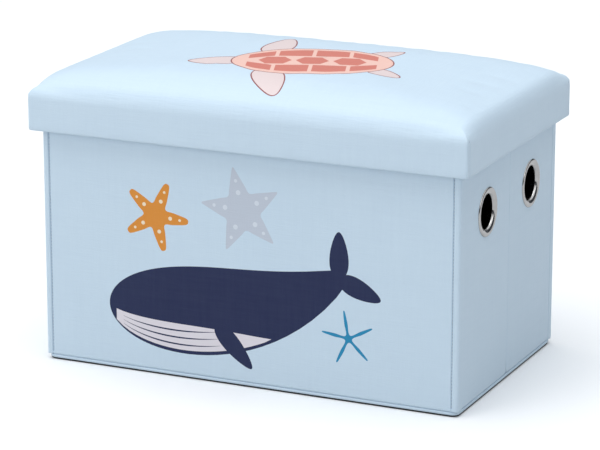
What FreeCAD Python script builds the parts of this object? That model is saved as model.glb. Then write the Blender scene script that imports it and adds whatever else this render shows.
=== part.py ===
"""A folding toy box with a padded lift-off lid, as a parametric FreeCAD document.

The origin is the centre of the footprint on the floor, with +X along the box's length, -Y towards
its front and +Z up. All lengths are in millimetres.

The box stands on a black bottom sheet. It has a front wall, a back wall and, at each end, two
leaves that meet in a crease halfway. Every wall is a stiff board in a leatherette cover, with a
black lining inside. The ends fold inwards about the corners and the creases, over the loose base
board, until the back wall lies against the front wall.
"""

import FreeCAD, Part
import os
import Sketcher

SIZES = {
    # the box
    "box_width": 458.0,
    "box_depth": 268.0,
    "wall_top": 281.0,
    "wall_thick": 5.0,
    "cover_thick": 1.0,
    "lining_thick": 0.5,
    "panel_corner": 9.0,
    "leaf_corner": 5.0,
    "corner_gap": 0.3,
    "crease_gap": 0.2,
    # what it stands on
    "sheet_thick": 0.8,
    "sheet_inset": 1.0,
    "binding_top": 4.6,
    "leaf_foot": 5.0,
    # the hand holes in the end leaves
    "eyelet_radius": 17.5,
    "eyelet_barrel": 1.0,
    "eyelet_flange": 25.0,
    "eyelet_bevel": 1.2,
    "eyelet_proud": 1.5,
    "eyelet_from_crease": 61.0,
    "eyelet_height": 191.5,
    "lip_radius": 20.5,
    "lip_thick": 0.4,
    "washer_radius": 24.0,
    "washer_thick": 1.1,
    "barrel_gap": 0.1,
    # the loose base board
    "base_gap": 2.5,
    "base_low": 0.9,
    "base_top": 3.9,
    "base_wrap": 0.3,
    "tab_width": 24.0,
    "tab_length": 46.0,
    "tab_inset": 14.0,
    "tab_thick": 0.7,
    # the lid
    "lid_width": 480.0,
    "lid_depth": 290.0,
    "lid_foot": 245.0,
    "lid_top": 316.0,
    "lid_cover_thick": 1.0,
    "lid_round": 22.0,
    "lid_rest": 281.3,
    "lid_lining_thick": 0.6,
    "lid_board_thick": 4.0,
    "rim_thick": 5.0,
    "foam_gap": 0.3,
}

SAME_LENGTH = 0.01
LEAST_CUT = 1.0
QUARTER_TURN = 90.0
HALF_TURN = 180.0
FULL_TURN = 360.0

doc = FreeCAD.newDocument("toy_box")
sheet = doc.addObject("Spreadsheet::Sheet", "Sizes")
for row, (alias, size) in enumerate(SIZES.items(), start=1):
    sheet.set(f"A{row}", alias)
    sheet.set(f"B{row}", str(size))
    sheet.setAlias(f"B{row}", alias)
doc.recompute()

subparts = []


# --- expressions in the sheet's cells ------------------------------------------------------------


def cells(text):
    """The same expression with the sheet's name before each alias."""
    words = text.replace("(", "( ").replace(")", " )").split()
    return " ".join(f"Sizes.{word}" if word in SIZES else word for word in words)


def value(text):
    """What an expression comes to now."""
    return float(sheet.evalExpression(cells(text)))


def bind(item, prop, text):
    """Ties a property of an object to an expression."""
    item.setExpression(prop, cells(text))


# --- features ------------------------------------------------------------------------------------


def new_body(label):
    """An empty body, listed as a sub-part."""
    body = doc.addObject("PartDesign::Body", label)
    body.Label = label
    subparts.append(body)
    return body


def new_sketch(body, role, offset="0"):
    """A sketch on one of the body's origin planes, moved along the plane's normal."""
    plane = [feature for feature in body.Origin.OriginFeatures if feature.Role == role][0]
    sketch = body.newObject("Sketcher::SketchObject", f"{body.Name}_sketch")
    sketch.AttachmentSupport = [(plane, "")]
    sketch.MapMode = "FlatFace"
    bind(sketch, "AttachmentOffset.Base.z", offset)
    return sketch


def dimension(sketch, kind, geometry, point, text):
    """Ties how far a point of a sketch is from its origin, along one axis, to an expression."""
    number = sketch.addConstraint(
        Sketcher.Constraint(kind, -1, 1, geometry, point, value(text))
    )
    sketch.setExpression(f"Constraints[{number}]", cells(text))


def add_outline(sketch, *corners):
    """A closed outline of straight lines through corners, each a pair of expressions."""
    points = [FreeCAD.Vector(value(across), value(up), 0) for across, up in corners]
    first = sketch.GeometryCount
    count = len(corners)
    for i in range(count):
        sketch.addGeometry(Part.LineSegment(points[i], points[(i + 1) % count]), False)
    for i in range(count):
        after = first + (i + 1) % count
        sketch.addConstraint(Sketcher.Constraint("Coincident", first + i, 2, after, 1))
    for i, (across, up) in enumerate(corners):
        dimension(sketch, "DistanceX", first + i, 1, across)
        dimension(sketch, "DistanceY", first + i, 1, up)


def add_rectangle(sketch, left, right, low, high):
    """A rectangle between four expressions."""
    add_outline(sketch, (left, low), (right, low), (right, high), (left, high))


def add_circle(sketch, x, y, radius):
    """A circle about x, y."""
    centre = FreeCAD.Vector(value(x), value(y), 0)
    circle = Part.Circle(centre, FreeCAD.Vector(0, 0, 1), value(radius))
    geometry = sketch.addGeometry(circle, False)
    dimension(sketch, "DistanceX", geometry, 3, x)
    dimension(sketch, "DistanceY", geometry, 3, y)
    number = sketch.addConstraint(Sketcher.Constraint("Radius", geometry, value(radius)))
    sketch.setExpression(f"Constraints[{number}]", cells(radius))


def add_feature(body, kind):
    """A new feature of a body."""
    return body.newObject(f"PartDesign::{kind}", f"{body.Name}_{kind.lower()}")


def pad(body, sketch, length):
    """Pads a sketch along its normal."""
    feature = add_feature(body, "Pad")
    feature.Profile = sketch
    bind(feature, "Length", length)
    doc.recompute()


def pocket(body, sketch, length):
    """Pockets a sketch along its normal, and makes sure that it takes something away."""
    before = body.Shape.Volume
    feature = add_feature(body, "Pocket")
    feature.Profile = sketch
    feature.Reversed = True
    bind(feature, "Length", length)
    doc.recompute()
    if body.Shape.Volume > before - LEAST_CUT:
        raise ValueError(f"the pocket in {body.Label} cuts nothing")


def revolve(body, sketch):
    """Turns a sketch a whole turn about its own upright axis."""
    feature = add_feature(body, "Revolution")
    feature.Profile = sketch
    feature.ReferenceAxis = (sketch, ["V_Axis"])
    feature.Angle = FULL_TURN
    doc.recompute()


def round_edges(body, radius, wanted):
    """Rounds those edges of the last feature whose middle satisfies wanted(point)."""
    base = body.Tip
    names = []
    for i, edge in enumerate(base.Shape.Edges, start=1):
        if wanted(edge.CenterOfMass):
            names.append(f"Edge{i}")
    feature = add_feature(body, "Fillet")
    feature.Base = (base, names)
    bind(feature, "Radius", radius)
    doc.recompute()


def hollow(body, thickness, wanted):
    """Leaves a skin of the last feature, open at the face whose middle satisfies wanted(point)."""
    base = body.Tip
    names = []
    for i, face in enumerate(base.Shape.Faces, start=1):
        if wanted(face.CenterOfMass):
            names.append(f"Face{i}")
    feature = add_feature(body, "Thickness")
    feature.Base = (base, names)
    feature.Reversed = True
    feature.Join = "Intersection"
    bind(feature, "Value", thickness)
    doc.recompute()


def place(body, x="0", y="0", z="0", turn=0.0):
    """Puts a finished body at x, y, z, turned about the upright axis by an angle in degrees."""
    body.Placement.Rotation = FreeCAD.Rotation(FreeCAD.Vector(0, 0, 1), turn)
    bind(body, "Placement.Base.x", x)
    bind(body, "Placement.Base.y", y)
    bind(body, "Placement.Base.z", z)
    doc.recompute()


def near(a, b):
    """Whether two lengths are the same."""
    return abs(a - b) < SAME_LENGTH


def block(label, half_width, half_depth, low, high):
    """A plain rectangular piece about the upright axis, between two heights."""
    body = new_body(label)
    sketch = new_sketch(body, "XY_Plane", low)
    add_rectangle(sketch, f"-1 * ( {half_width} )", half_width, f"-1 * ( {half_depth} )", half_depth)
    pad(body, sketch, f"( {high} ) - ( {low} )")
    return body


# --- walls ---------------------------------------------------------------------------------------
# A wall is made lying along X with its foot at Z 0, its outer face at Y 0 and its inner face at
# Y wall_thick, and is then turned and put in its place.


def wall_slab(label, length, height, inset, corner, outer, inner):
    """One flat layer of a wall, between two depths, with both corners at its foot rounded."""
    body = new_body(label)
    sketch = new_sketch(body, "XZ_Plane", f"-1 * ( {inner} )")
    side = f"( {length} ) / 2 - {inset}"
    add_rectangle(sketch, f"-1 * ( {side} )", side, inset, f"( {height} ) - {inset}")
    pad(body, sketch, f"( {inner} ) - ( {outer} )")
    foot = value(inset)
    half = value(side)
    round_edges(
        body,
        f"{corner} - {inset}",
        lambda middle: near(middle.z, foot) and near(abs(middle.x), half),
    )
    return body


def hand_hole(body, x, z):
    """Cuts the hole for an eyelet's barrel through a layer of a wall."""
    sketch = new_sketch(body, "XZ_Plane", "-1 * wall_thick")
    add_circle(sketch, x, z, "eyelet_radius + eyelet_barrel + barrel_gap")
    pocket(body, sketch, "wall_thick")


def wall(name, length, foot, corner, x="0", y="0", turn=0.0, hole_x=None):
    """A wall of three layers: the cover, the board inside it and the lining over the board."""
    height = f"wall_top - {foot}"
    lining_face = "wall_thick - lining_thick"
    cover = wall_slab(f"{name}_cover", length, height, "0", corner, "0", "wall_thick")
    thick = value("wall_thick")
    hollow(cover, "cover_thick", lambda middle: near(middle.y, thick))
    board = wall_slab(
        f"{name}_board", length, height, "cover_thick", corner, "cover_thick", lining_face
    )
    lining = wall_slab(
        f"{name}_lining", length, height, "cover_thick", corner, lining_face, "wall_thick"
    )
    for layer in (cover, board, lining):
        if hole_x:
            hand_hole(layer, hole_x, f"eyelet_height - {foot}")
        place(layer, x, y, foot, turn)


def eyelet(name, x, y, turn):
    """A hand hole's metal eyelet and its washer, turned about the hole's axis."""
    ring = new_body(f"{name}_eyelet")
    outline = new_sketch(ring, "XY_Plane")
    bore = "eyelet_radius"
    barrel = "eyelet_radius + eyelet_barrel"
    face = "-1 * eyelet_proud"
    washer_face = "wall_thick + washer_thick"
    end = f"{washer_face} + lip_thick"
    add_outline(
        outline,
        (bore, face),
        ("eyelet_flange - eyelet_bevel", face),
        ("eyelet_flange", f"{face} + eyelet_bevel"),
        ("eyelet_flange", "0"),
        (barrel, "0"),
        (barrel, washer_face),
        ("lip_radius", washer_face),
        ("lip_radius", end),
        (bore, end),
    )
    revolve(ring, outline)
    washer = new_body(f"{name}_washer")
    section = new_sketch(washer, "XY_Plane")
    add_rectangle(
        section, f"{barrel} + barrel_gap", "washer_radius", "wall_thick", washer_face
    )
    revolve(washer, section)
    for piece in (ring, washer):
        place(piece, x, y, "eyelet_height", turn)


def end_leaf(side, end):
    """One leaf of an end: side is 1 on the right, and end is -1 for the front leaf."""
    name = f"{'right' if side > 0 else 'left'}_{'front' if end < 0 else 'rear'}"
    length = "box_depth / 2 - wall_thick - corner_gap - crease_gap / 2"
    middle = f"( crease_gap / 2 + ( {length} ) / 2 )"
    outer_x = f"{side} * box_width / 2"
    turn = QUARTER_TURN * side
    hole_x = f"{side * end} * ( eyelet_from_crease - {middle} )"
    wall(name, length, "leaf_foot", "leaf_corner", outer_x, f"{end} * {middle}", turn, hole_x)
    eyelet(name, outer_x, f"{end} * eyelet_from_crease", turn)


def make_walls():
    """The front and back walls and the four end leaves."""
    wall("front", "box_width", "binding_top", "panel_corner", y="-1 * box_depth / 2")
    wall("back", "box_width", "leaf_foot", "panel_corner", y="box_depth / 2", turn=HALF_TURN)
    for side in (1, -1):
        for end in (-1, 1):
            end_leaf(side, end)


# --- bottom and base board -----------------------------------------------------------------------


def make_bottom():
    """The bottom sheet, and the folded edge that binds it under the walls."""
    half_width = "box_width / 2 - sheet_inset"
    half_depth = "box_depth / 2 - sheet_inset"
    block("bottom_sheet", half_width, half_depth, "0", "sheet_thick")
    binding = block("bottom_binding", half_width, half_depth, "sheet_thick", "binding_top")
    inside = new_sketch(binding, "XY_Plane", "sheet_thick")
    inner_width = "( box_width / 2 - wall_thick )"
    inner_depth = "( box_depth / 2 - wall_thick )"
    add_rectangle(
        inside, f"-1 * {inner_width}", inner_width, f"-1 * {inner_depth}", inner_depth
    )
    pocket(binding, inside, "binding_top - sheet_thick")


def make_base_board():
    """The loose board on the bottom sheet, its cloth wrap and the tab that lifts it."""
    half_width = "box_width / 2 - wall_thick - base_gap"
    half_depth = "box_depth / 2 - wall_thick - base_gap"
    wrap = block("base_cover", half_width, half_depth, "base_low", "base_top")
    low = value("base_low")
    hollow(wrap, "base_wrap", lambda middle: near(middle.z, low))
    block(
        "base_board",
        f"{half_width} - base_wrap",
        f"{half_depth} - base_wrap",
        "base_low",
        "base_top - base_wrap",
    )
    tab = new_body("pull_tab")
    sketch = new_sketch(tab, "XY_Plane", "base_top")
    front = f"( -1 * ( {half_depth} ) + tab_inset )"
    add_rectangle(sketch, "-1 * tab_width / 2", "tab_width / 2", front, f"{front} + tab_length")
    pad(tab, sketch, "tab_thick")


# --- lid -----------------------------------------------------------------------------------------


def round_top(body, high, radius):
    """Rounds the edges of a body that lie level at one height."""
    top = value(high)
    round_edges(body, radius, lambda middle: near(middle.z, top))


def make_lid():
    """The cover over the foam, the board under it, the four rims of the skirt and the lining."""
    cover = block("lid_cover", "lid_width / 2", "lid_depth / 2", "lid_foot", "lid_top")
    foot = value("lid_foot")
    hollow(cover, "lid_cover_thick", lambda middle: near(middle.z, foot))
    round_top(cover, "lid_top", "lid_round")
    round_top(cover, "lid_top - lid_cover_thick", "lid_round - lid_cover_thick")
    rim_low = "lid_foot + lid_cover_thick"
    board_low = "lid_rest + lid_lining_thick"
    board_high = f"{board_low} + lid_board_thick"
    inset = "( lid_cover_thick + foam_gap )"
    foam_top = f"lid_top - {inset}"
    foam = block(
        "lid_foam", f"lid_width / 2 - {inset}", f"lid_depth / 2 - {inset}", board_high, foam_top
    )
    round_top(foam, foam_top, f"lid_round - {inset}")
    half_width = "( lid_width / 2 - lid_cover_thick )"
    half_depth = "( lid_depth / 2 - lid_cover_thick )"
    block("lid_board", half_width, half_depth, board_low, board_high)
    inner_width = f"( {half_width} - rim_thick )"
    inner_depth = f"( {half_depth} - rim_thick )"
    lining = block("lid_lining", inner_width, inner_depth, rim_low, board_low)
    lining_foot = value(rim_low)
    hollow(lining, "lid_lining_thick", lambda middle: near(middle.z, lining_foot))
    rims = {
        "front": (f"-1 * {half_width}", half_width, f"-1 * {half_depth}", f"-1 * {inner_depth}"),
        "back": (f"-1 * {half_width}", half_width, inner_depth, half_depth),
        "left": (f"-1 * {half_width}", f"-1 * {inner_width}", f"-1 * {inner_depth}", inner_depth),
        "right": (inner_width, half_width, f"-1 * {inner_depth}", inner_depth),
    }
    for side, sides in rims.items():
        rim = new_body(f"lid_rim_{side}")
        sketch = new_sketch(rim, "XY_Plane", rim_low)
        add_rectangle(sketch, *sides)
        pad(rim, sketch, f"( {board_low} ) - ( {rim_low} )")


make_bottom()
make_walls()
make_base_board()
make_lid()

doc.recompute()
for item in doc.Objects:
    if "Invalid" in item.State or "Error" in item.State:
        raise ValueError(f"{item.Label} did not recompute: {item.State}")
for body in subparts:
    if body.Shape.isNull() or not body.Shape.isValid() or len(body.Shape.Solids) != 1:
        raise ValueError(f"{body.Label} is not one valid solid")

os.makedirs("parts", exist_ok=True)
for body in subparts:
    body.Shape.exportStep(f"parts/{body.Label}.step")
    print(f"{body.Label:24s} {body.Shape.Volume:12.1f} mm3")
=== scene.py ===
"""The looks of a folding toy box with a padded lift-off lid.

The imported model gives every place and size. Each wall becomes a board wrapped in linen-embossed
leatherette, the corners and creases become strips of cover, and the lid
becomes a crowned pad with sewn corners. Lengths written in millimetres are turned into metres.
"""

import math

import bmesh
import bpy
import numpy as np
from mathutils import Matrix, Vector
from mathutils.geometry import delaunay_2d_cdt


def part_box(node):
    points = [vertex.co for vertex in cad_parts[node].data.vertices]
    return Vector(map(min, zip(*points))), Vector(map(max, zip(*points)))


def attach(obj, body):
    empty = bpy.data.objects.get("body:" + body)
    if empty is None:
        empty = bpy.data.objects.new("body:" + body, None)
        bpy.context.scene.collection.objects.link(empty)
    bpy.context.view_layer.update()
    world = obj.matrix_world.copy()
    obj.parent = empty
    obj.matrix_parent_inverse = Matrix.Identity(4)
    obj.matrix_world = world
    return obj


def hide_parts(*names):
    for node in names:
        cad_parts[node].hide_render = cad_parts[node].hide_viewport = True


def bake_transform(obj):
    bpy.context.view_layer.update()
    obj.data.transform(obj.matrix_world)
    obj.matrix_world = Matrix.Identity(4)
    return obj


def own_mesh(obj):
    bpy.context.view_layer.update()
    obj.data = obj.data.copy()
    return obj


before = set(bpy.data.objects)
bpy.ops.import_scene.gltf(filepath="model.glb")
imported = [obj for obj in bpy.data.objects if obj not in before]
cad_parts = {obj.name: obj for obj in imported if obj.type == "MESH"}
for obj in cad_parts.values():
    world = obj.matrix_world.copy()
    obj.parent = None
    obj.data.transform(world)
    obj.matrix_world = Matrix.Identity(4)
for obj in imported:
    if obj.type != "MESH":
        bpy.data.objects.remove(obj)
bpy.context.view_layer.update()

MM = 0.001


# --- places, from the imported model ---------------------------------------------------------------

WALLS = {
    "front": ("box_front", 0.0),
    "back": ("back_wall", 180.0),
    "right_front": ("right_front_leaf", 90.0),
    "right_rear": ("right_rear_leaf", 90.0),
    "left_front": ("left_front_leaf", -90.0),
    "left_rear": ("left_rear_leaf", -90.0),
}
LEAVES = [name for name in WALLS if name not in ("front", "back")]

BOX_HIGH = Vector((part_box("front_cover")[1].x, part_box("back_cover")[1].y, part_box("front_cover")[1].z))
WALL_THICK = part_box("front_cover")[1].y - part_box("front_cover")[0].y
LEAF_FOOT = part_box("back_cover")[0].z
LID_LOW, LID_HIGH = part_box("lid_cover")
LID_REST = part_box("lid_lining")[1].z


def wall_frame(name):
    """Where a wall stands: local X runs along it, local Y inwards from its outer face, Z up."""
    low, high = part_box(f"{name}_cover")
    middle = (low + high) / 2
    turn = WALLS[name][1]
    outer = {
        0.0: Vector((middle.x, low.y, 0)),
        180.0: Vector((middle.x, high.y, 0)),
        90.0: Vector((high.x, middle.y, 0)),
        -90.0: Vector((low.x, middle.y, 0)),
    }[turn]
    return Matrix.Translation(outer) @ Matrix.Rotation(math.radians(turn), 4, "Z")


def wall_size(name):
    """A wall's length, and the heights of its foot and its top."""
    low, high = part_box(f"{name}_cover")
    return max(high.x - low.x, high.y - low.y), low.z, high.z


# --- colours and nodes ---------------------------------------------------------------------------


def shade(red, green, blue):
    """A linear colour from three display values out of 255."""
    linear = []
    for value in (red, green, blue):
        part = value / 255
        linear.append(part / 12.92 if part <= 0.04045 else ((part + 0.055) / 1.055) ** 2.4)
    return (*linear, 1.0)


def feed(tree, socket, value):
    """Gives a socket a link, where value is a socket, or a plain value."""
    if isinstance(value, bpy.types.NodeSocket):
        tree.links.new(value, socket)
    else:
        socket.default_value = value


def node(tree, kind, settings=None, **inputs):
    """A new node; inputs are named as its sockets are, with _ for a space, or in_0, in_1 by place."""
    made = tree.nodes.new(kind)
    for name, value in (settings or {}).items():
        setattr(made, name, value)
    for name, value in inputs.items():
        key = int(name[3:]) if name.startswith("in_") else name.replace("_", " ")
        feed(tree, made.inputs[key], value)
    return made


def calculate(tree, operation, first, second=0.0, third=0.0):
    """The output of a Math node."""
    settings = {"operation": operation}
    return node(tree, "ShaderNodeMath", settings, in_0=first, in_1=second, in_2=third).outputs[0]


def mix_colours(tree, factor, first, second, blend="MIX"):
    """The output of a colour Mix node."""
    made = node(tree, "ShaderNodeMix", {"data_type": "RGBA", "blend_type": blend})
    for key, value in (("Factor_Float", factor), ("A_Color", first), ("B_Color", second)):
        socket = [s for s in made.inputs if s.identifier == key][0]
        feed(tree, socket, value)
    return [s for s in made.outputs if s.identifier == "Result_Color"][0]


def remap(tree, value, low, high):
    """value, from 0 to 1, moved to run from low to high."""
    return node(tree, "ShaderNodeMapRange", Value=value, To_Min=low, To_Max=high).outputs["Result"]


def noise_value(tree, vector, scale, detail=2.0, roughness=0.5):
    """A noise texture's value at vector."""
    inputs = {"Vector": vector, "Scale": scale, "Detail": detail, "Roughness": roughness}
    return node(tree, "ShaderNodeTexNoise", **inputs).outputs["Fac"]


def new_group(name, inputs, outputs):
    """An empty shader group: inputs are name: (kind, value), outputs are name: kind."""
    tree = bpy.data.node_groups.new(name, "ShaderNodeTree")
    for label, (kind, value) in inputs.items():
        socket = tree.interface.new_socket(label, in_out="INPUT", socket_type=f"NodeSocket{kind}")
        if value is not None:
            socket.default_value = value
    for label, kind in outputs.items():
        tree.interface.new_socket(label, in_out="OUTPUT", socket_type=f"NodeSocket{kind}")
    return tree, tree.nodes.new("NodeGroupInput"), tree.nodes.new("NodeGroupOutput")


def use_group(tree, group, **inputs):
    """A group's node in a tree."""
    return node(tree, "ShaderNodeGroup", {"node_tree": group}, **inputs)


def new_material(name):
    """A material with only a Principled shader, and that shader."""
    material = bpy.data.materials.new(name)
    material.use_nodes = True
    tree = material.node_tree
    tree.nodes.clear()
    shader = node(tree, "ShaderNodeBsdfPrincipled")
    output = node(tree, "ShaderNodeOutputMaterial")
    tree.links.new(shader.outputs["BSDF"], output.inputs["Surface"])
    return material, tree, shader


def dress(tree, shader, **inputs):
    """Feeds a shader's inputs, each named as its socket is, with _ for a space."""
    for name, value in inputs.items():
        feed(tree, shader.inputs[name.replace("_", " ")], value)


def set_bump(tree, shader, height, distance, strength=1.0):
    """Feeds a height to a shader's normal; distance is in metres."""
    bump = node(tree, "ShaderNodeBump", Strength=strength, Distance=distance, Height=height)
    tree.links.new(bump.outputs["Normal"], shader.inputs["Normal"])


# --- shared surface patterns ---------------------------------------------------------------------


def make_linen_group():
    """Crossed threads, as embossed on leatherette: streaks that are long along an axis and thin
    across it, in all three directions, so that any flat side of the box shows two sets."""
    tree, given, result = new_group(
        "linen_emboss",
        {"Vector": ("Vector", None), "Threads": ("Float", 900.0), "Length": ("Float", 14.0)},
        {"Height": "Float", "Streak": "Float"},
    )
    heights = []
    streaks = []
    for axis in range(3):
        along = calculate(tree, "DIVIDE", given.outputs["Threads"], given.outputs["Length"])
        scale = node(tree, "ShaderNodeCombineXYZ")
        for other in range(3):
            feed(tree, scale.inputs[other], given.outputs["Threads"] if other == axis else along)
        settings = {"operation": "MULTIPLY"}
        place = node(tree, "ShaderNodeVectorMath", settings, in_0=given.outputs["Vector"])
        feed(tree, place.inputs[1], scale.outputs[0])
        heights.append(noise_value(tree, place.outputs[0], 1.0, 1.0))
        streaks.append(noise_value(tree, place.outputs[0], 0.31, 3.0, 0.7))
    for label, parts in (("Height", heights), ("Streak", streaks)):
        total = calculate(tree, "ADD", calculate(tree, "ADD", parts[0], parts[1]), parts[2])
        mean = calculate(tree, "DIVIDE", total, 3.0)
        spread = calculate(tree, "MULTIPLY_ADD", mean, 3.0, -1.0)
        tree.links.new(spread, result.inputs[label])
    return tree


def make_grain_group():
    """Fine pebbles, as pressed into leatherette."""
    tree, given, result = new_group(
        "pebble_grain",
        {"Vector": ("Vector", None), "Pebbles": ("Float", 1500.0)},
        {"Height": "Float"},
    )
    wobble = noise_value(tree, given.outputs["Vector"], 420.0, 1.0)
    shifted = node(tree, "ShaderNodeVectorMath", {"operation": "MULTIPLY_ADD"})
    feed(tree, shifted.inputs[0], wobble)
    shifted.inputs[1].default_value = (0.0006, 0.0006, 0.0006)
    feed(tree, shifted.inputs[2], given.outputs["Vector"])
    inputs = {"Vector": shifted.outputs[0], "Scale": given.outputs["Pebbles"]}
    cells = node(tree, "ShaderNodeTexVoronoi", {"feature": "SMOOTH_F1"}, **inputs)
    height = calculate(tree, "SUBTRACT", 1.0, cells.outputs["Distance"])
    tree.links.new(height, result.inputs["Height"])
    return tree


def make_felt_group():
    """Pressed fibres with a grid of small welded dimples, as on non-woven cloth."""
    tree, given, result = new_group(
        "pressed_felt",
        {"Vector": ("Vector", None), "Dimples": ("Float", 420.0), "Fibres": ("Float", 2600.0)},
        {"Height": "Float", "Mask": "Float"},
    )
    inputs = {"Vector": given.outputs["Vector"], "Scale": given.outputs["Dimples"]}
    cells = node(tree, "ShaderNodeTexVoronoi", {"feature": "F1"}, Randomness=0.12, **inputs)
    settings = {"interpolation_type": "SMOOTHSTEP"}
    inputs = {"Value": cells.outputs["Distance"], "From_Min": 0.12, "From_Max": 0.34}
    dimple = node(tree, "ShaderNodeMapRange", settings, **inputs)
    fibres = noise_value(tree, given.outputs["Vector"], given.outputs["Fibres"], 4.0, 0.65)
    height = calculate(tree, "MULTIPLY_ADD", fibres, 0.35, dimple.outputs["Result"])
    tree.links.new(height, result.inputs["Height"])
    tree.links.new(dimple.outputs["Result"], result.inputs["Mask"])
    return tree


def make_tone_patch_group():
    """Slow, soft changes of tone, spread at random over a cover."""
    tree, given, result = new_group(
        "tone_patches",
        {"Vector": ("Vector", None), "Patches": ("Float", 9.0)},
        {"Mask": "Float", "Height": "Float"},
    )
    slow = noise_value(tree, given.outputs["Vector"], given.outputs["Patches"], 3.0, 0.5)
    fine = noise_value(tree, given.outputs["Vector"], 38.0, 2.0, 0.5)
    mixed = calculate(tree, "MULTIPLY_ADD", fine, 0.35, calculate(tree, "MULTIPLY", slow, 0.65))
    tree.links.new(mixed, result.inputs["Mask"])
    tree.links.new(slow, result.inputs["Height"])
    return tree


LINEN = make_linen_group()
GRAIN = make_grain_group()
FELT = make_felt_group()
TONE_PATCHES = make_tone_patch_group()


# --- materials -----------------------------------------------------------------------------------

ICE_BLUE = shade(203, 222, 236)
PRINT = "print"


def object_place(tree):
    """Object coordinates."""
    return node(tree, "ShaderNodeTexCoord").outputs["Object"]


def leatherette(name, printed=False):
    """Ice-blue leatherette with an embossed linen thread and a fine grain."""
    material, tree, shader = new_material(name)
    place = object_place(tree)
    linen = use_group(tree, LINEN, Vector=place, Threads=850.0, Length=16.0)
    grain = use_group(tree, GRAIN, Vector=place, Pebbles=1700.0)
    tone_patches = use_group(tree, TONE_PATCHES, Vector=place, Patches=7.0)
    light = mix_colours(tree, linen.outputs["Streak"], shade(199, 218, 233), shade(208, 226, 239))
    # slow patches of tone, spread at random
    colour = mix_colours(tree, tone_patches.outputs["Mask"], light, ICE_BLUE)
    if printed:
        ink = node(tree, "ShaderNodeAttribute", {"attribute_name": PRINT})
        dry = remap(tree, linen.outputs["Streak"], 0.985, 1.0)
        cover = calculate(tree, "MULTIPLY", ink.outputs["Alpha"], dry)
        colour = mix_colours(tree, cover, colour, ink.outputs["Color"])
    gloss = calculate(tree, "ADD", grain.outputs["Height"], linen.outputs["Height"])
    rough = remap(tree, calculate(tree, "MULTIPLY", gloss, 0.5), 0.60, 0.46)
    dress(tree, shader, Base_Color=colour, Roughness=rough, Specular_IOR_Level=0.36)
    dress(tree, shader, Sheen_Weight=0.08, Sheen_Roughness=0.5)
    fine = calculate(tree, "MULTIPLY_ADD", grain.outputs["Height"], 0.35, linen.outputs["Height"])
    set_bump(tree, shader, fine, 0.0002, 0.9)
    return material


def thread_material():
    """Twisted sewing thread, a shade darker than the cover."""
    material, tree, shader = new_material("sewing_thread")
    place = object_place(tree)
    twist = noise_value(tree, place, 3200.0, 2.0)
    colour = mix_colours(tree, twist, shade(140, 160, 180), shade(176, 194, 210))
    dress(tree, shader, Base_Color=colour, Roughness=0.62)
    set_bump(tree, shader, twist, 0.00008)
    return material


def black_cloth(name, tone, dimples):
    """Black non-woven cloth."""
    material, tree, shader = new_material(name)
    place = object_place(tree)
    felt = use_group(tree, FELT, Vector=place, Dimples=dimples)
    tone_patches = use_group(tree, TONE_PATCHES, Vector=place, Patches=12.0)
    dark = shade(tone, tone + 1, tone + 3)
    pale = shade(tone + 12, tone + 13, tone + 16)
    colour = mix_colours(tree, felt.outputs["Mask"], dark, pale)
    # paler patches, spread at random by the same slow noise
    patchy = mix_colours(tree, remap(tree, tone_patches.outputs["Mask"], 0.0, 0.4), colour, pale)
    rough = remap(tree, felt.outputs["Mask"], 0.72, 0.92)
    dress(tree, shader, Base_Color=patchy, Roughness=rough, Sheen_Weight=0.15)
    set_bump(tree, shader, felt.outputs["Height"], 0.00025)
    return material


def fibreboard():
    """Pale pressed board, with its chips and fibres."""
    material, tree, shader = new_material("fibreboard")
    place = object_place(tree)
    chips = noise_value(tree, place, 260.0, 5.0, 0.7)
    specks = noise_value(tree, place, 1400.0, 2.0, 0.6)
    colour = mix_colours(tree, chips, shade(176, 148, 112), shade(205, 182, 148))
    speckled = mix_colours(tree, remap(tree, specks, 0.0, 0.35), colour, shade(140, 112, 82))
    dress(tree, shader, Base_Color=speckled, Roughness=remap(tree, chips, 0.7, 0.9))
    set_bump(tree, shader, chips, 0.0001)
    return material


def bright_metal():
    """Plated steel of the eyelets, bright, with the faint marks of the press."""
    material, tree, shader = new_material("bright_plate")
    place = object_place(tree)
    marks = noise_value(tree, place, 180.0, 3.0, 0.6)
    colour = mix_colours(tree, marks, shade(186, 185, 184), shade(212, 210, 208))
    rough = remap(tree, marks, 0.07, 0.16)
    dress(tree, shader, Base_Color=colour, Metallic=1.0, Roughness=rough)
    set_bump(tree, shader, marks, 0.00003, 0.5)
    return material


def brushed_metal():
    """Duller plated steel of the washers, with turned rings."""
    material, tree, shader = new_material("turned_steel")
    place = object_place(tree)
    rub = noise_value(tree, place, 900.0, 3.0, 0.7)
    colour = mix_colours(tree, rub, shade(150, 152, 155), shade(190, 191, 193))
    rough = remap(tree, rub, 0.28, 0.46)
    dress(tree, shader, Base_Color=colour, Metallic=1.0, Roughness=rough)
    set_bump(tree, shader, rub, 0.00003, 0.6)
    return material


def foam_material():
    """Cream foam, full of small open cells."""
    material, tree, shader = new_material("cream_foam")
    place = object_place(tree)
    cells = node(tree, "ShaderNodeTexVoronoi", Vector=place, Scale=900.0)
    colour = mix_colours(tree, cells.outputs["Distance"], shade(244, 238, 214), shade(214, 202, 168))
    rough = remap(tree, cells.outputs["Distance"], 0.8, 1.0)
    dress(tree, shader, Base_Color=colour, Roughness=rough)
    set_bump(tree, shader, cells.outputs["Distance"], 0.0003)
    return material


def ribbon_material():
    """Black grosgrain ribbon, ribbed across its length."""
    material, tree, shader = new_material("ribbed_ribbon")
    place = object_place(tree)
    ribs = node(tree, "ShaderNodeTexWave", {"bands_direction": "Y"}, Vector=place, Scale=160.0)
    colour = mix_colours(tree, ribs.outputs["Fac"], shade(26, 27, 30), shade(48, 49, 53))
    rough = remap(tree, ribs.outputs["Fac"], 0.75, 0.5)
    dress(tree, shader, Base_Color=colour, Roughness=rough)
    set_bump(tree, shader, ribs.outputs["Fac"], 0.00015)
    return material


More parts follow.
